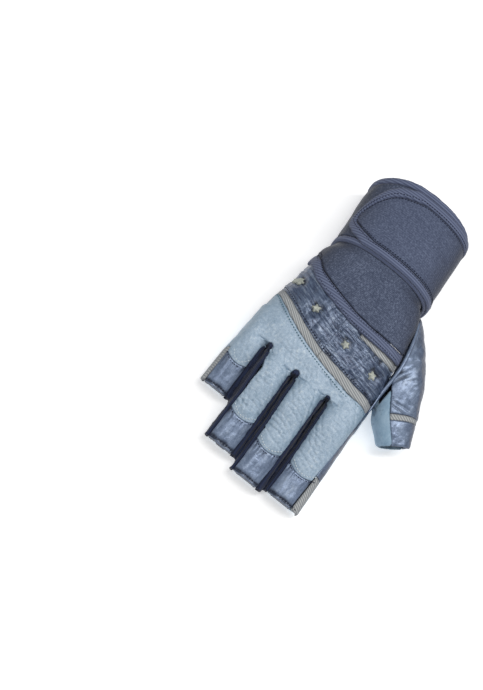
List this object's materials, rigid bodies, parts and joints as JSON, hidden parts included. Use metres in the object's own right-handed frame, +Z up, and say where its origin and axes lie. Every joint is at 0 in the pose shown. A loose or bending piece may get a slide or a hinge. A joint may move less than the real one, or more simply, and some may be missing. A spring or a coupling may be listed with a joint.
{
  "type": "weightlifting glove",
  "caption": "Half-finger weightlifting glove for the right hand, with a leather back, a padded suede palm and a wound wrist wrap.",
  "frame": {"origin": "under the middle of the glove as it lies palm down, on the surface that it lies on", "axes": "+X across the hand from the thumb to the little finger, +Y along the fingers, +Z up out of the back of the hand"},
  "size_m": [0.1392, 0.2294, 0.055],
  "materials": {
    "sky_leather": "semi-gloss goat leather, soft creases",
    "navy_leather": "pearly satin leather",
    "band_leather": "glossy wrinkled leather",
    "sky_suede": "matte suede",
    "charcoal_cloth": "matte brushed cloth",
    "slate_cloth": "matte stretch knit",
    "binding_cloth": "matte folded binding",
    "gusset_cloth": "matte mesh cloth",
    "elastic": "ribbed elastic"
  },
  "bodies": {
    "root": {"back_leather": "sky_leather", "front_elastic": "elastic", "star_band": "band_leather", "star_1": "elastic", "star_2": "elastic", "star_3": "elastic", "star_4": "elastic", "rear_elastic": "elastic", "index_tip": "navy_leather", "middle_tip": "navy_leather", "ring_tip": "navy_leather", "pinky_tip": "navy_leather", "index_side": "navy_leather", "index_elastic": "elastic", "pinky_elastic": "elastic", "gusset_index_middle": "gusset_cloth", "gusset_middle_ring": "gusset_cloth", "gusset_ring_pinky": "gusset_cloth", "thumb_back": "navy_leather", "thumb_band": "elastic", "thumb_tip": "navy_leather", "thumb_gusset": "gusset_cloth", "thumb_palm": "sky_suede", "finger_palm": "sky_suede", "grip_dot_1": "charcoal_cloth", "grip_dot_2": "charcoal_cloth", "grip_dot_3": "charcoal_cloth", "grip_dot_4": "charcoal_cloth", "grip_dot_5": "charcoal_cloth", "grip_dot_6": "charcoal_cloth", "grip_dot_7": "charcoal_cloth", "palm_cloth": "charcoal_cloth", "palm_patch": "sky_suede", "heel_pad_outer": "sky_suede", "heel_pad_long": "sky_suede", "heel_pad_inner": "sky_suede", "cuff_binding": "binding_cloth", "cuff_panel": "slate_cloth", "ring_top_binding": "binding_cloth", "wrap_ring": "slate_cloth", "ring_end_binding": "binding_cloth", "strap_seam_tape": "binding_cloth", "strap_patch": "charcoal_cloth", "strap_tab": "slate_cloth", "strap_binding": "binding_cloth"}
  },
  "joints": []
}
